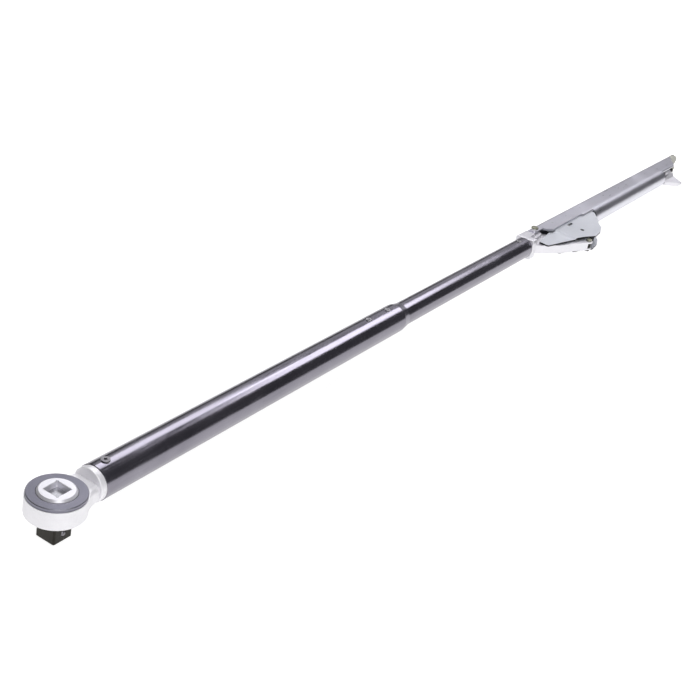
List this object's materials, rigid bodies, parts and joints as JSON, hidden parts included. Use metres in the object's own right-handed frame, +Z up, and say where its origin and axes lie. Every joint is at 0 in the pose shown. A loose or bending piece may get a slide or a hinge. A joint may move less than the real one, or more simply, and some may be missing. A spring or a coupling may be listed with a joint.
{
  "type": "torque wrench",
  "caption": "Long break-back torque wrench with a square-drive ratchet head, two-step tube, side-arm pivot bracket and folded handle holding its spring mechanism.",
  "frame": {"origin": "on the drive axis at the height of the tube's centre line", "axes": "+X along the tube towards the handle, +Z up away from the male square, -Y the side of the bracket's arm, towards which the handle is pulled"},
  "size_m": [1.9439, 0.1069, 0.063],
  "materials": {
    "forged_steel": "satin, forged and ground",
    "cover_steel": "blue-grey satin",
    "bright_steel": "ground bright",
    "socket_steel": "zinc plated fastener, satin",
    "black_paint": "black semi-gloss",
    "plated_steel": "zinc plated, satin",
    "silver_paint": "silver-grey satin",
    "dark_steel": "oil-blackened",
    "spring_steel": "bright drawn",
    "bronze": "sintered bronze, dull",
    "olive_steel": "yellow-grey passivated"
  },
  "bodies": {
    "head_and_tube": {"ratchet_head": "forged_steel", "cover_plate": "cover_steel", "cover_screws": "socket_steel", "pawl_pin": "bright_steel", "pawl_spring": "spring_steel", "head_screws": "socket_steel", "front_tube": "black_paint", "rear_tube": "black_paint", "joint_screws": "socket_steel", "bracket_screw": "socket_steel", "pivot_bracket": "plated_steel", "arm_pin": "dark_steel", "arm_nut": "dark_steel"},
    "wheel": {"ratchet_wheel": "forged_steel"},
    "drive": {"drive_square": "dark_steel", "ball_spring": "spring_steel"},
    "ball": {"drive_ball": "bright_steel"},
    "pawl": {"pawl": "dark_steel"},
    "roller": {"arm_roller": "dark_steel"},
    "handle": {"handle_channel": "silver_paint", "upper_side_plate": "plated_steel", "lower_side_plate": "plated_steel", "plate_rivets": "plated_steel", "plate_spacers": "plated_steel", "pivot_pin": "olive_steel", "pivot_washers": "bronze", "pivot_circlip": "dark_steel", "lever_pin": "dark_steel", "plunger_guide": "plated_steel", "spring_cage": "silver_paint", "main_spring": "spring_steel", "end_block": "plated_steel", "block_screws": "socket_steel", "thrust_washer": "bronze", "scale_plate": "plated_steel", "lock_pin": "dark_steel"},
    "lever": {"toggle_lever": "dark_steel", "lever_bush": "bronze"},
    "plunger": {"plunger": "dark_steel"},
    "load_nut": {"load_nut": "plated_steel", "cursor": "olive_steel"},
    "adjuster": {"adjusting_screw": "plated_steel", "adjuster_knob": "olive_steel", "knob_pin": "dark_steel"},
    "lock": {"lock_lever": "plated_steel"}
  },
  "joints": [
    {"name": "ratchet_spin", "type": "hinge", "parent": "head_and_tube", "child": "wheel", "pos_m": [0, 0, 0], "axis": [0, 0, 1], "continuous": true},
    {"name": "drive_change", "type": "slide", "parent": "wheel", "child": "drive", "axis": [0, 0, -1], "range_m": [0, 0.02]},
    {"name": "ball_press", "type": "slide", "parent": "drive", "child": "ball", "axis": [0, 1, 0], "range_m": [0, 0.0013], "stiffness_N_per_m": 2000, "deforming": ["ball_spring"]},
    {"name": "pawl_lift", "type": "hinge", "parent": "head_and_tube", "child": "pawl", "pos_m": [0.027, 0.0103, 0], "axis": [0, 0, 1], "range_deg": [0, 12], "stiffness_Nm_per_rad": 0.05, "deforming": ["pawl_spring"]},
    {"name": "roller_spin", "type": "hinge", "parent": "head_and_tube", "child": "roller", "pos_m": [1.203, -0.068, 0], "axis": [0, 0, 1], "continuous": true},
    {"name": "handle_break", "type": "hinge", "parent": "head_and_tube", "child": "handle", "pos_m": [1.138, 0.0105, 0], "axis": [0, 0, 1], "range_deg": [-8, 0], "stiffness_Nm_per_rad": 200},
    {"name": "lever_turn", "type": "hinge", "parent": "handle", "child": "lever", "pos_m": [1.225, -0.044, 0], "axis": [0, 0, 1], "range_deg": [-25.5, 0.5]},
    {"name": "plunger_slide", "type": "slide", "parent": "handle", "child": "plunger", "axis": [1, 0, 0], "range_m": [0, 0.0215], "deforming": ["main_spring"]},
    {"name": "adjuster_turn", "type": "hinge", "parent": "handle", "child": "adjuster", "pos_m": [1.79, 0, 0], "axis": [1, 0, 0], "range_deg": [0, 3601]},
    {"name": "nut_travel", "type": "slide", "parent": "handle", "child": "load_nut", "axis": [-1, 0, 0], "range_m": [0, 0.03], "deforming": ["main_spring"]},
    {"name": "lock_swing", "type": "hinge", "parent": "handle", "child": "lock", "pos_m": [1.77, -0.014, 0.0055], "axis": [1, 0, 0], "range_deg": [-50, 0]}
  ],
  "couplings": [
    {"joint": "lever_turn", "follows": "handle_break", "ratio": 3.125},
    {"joint": "plunger_slide", "follows": "handle_break", "m_per_rad": -0.15255},
    {"joint": "adjuster_turn", "follows": "nut_travel", "rad_per_m": 2094.4}
  ]
}
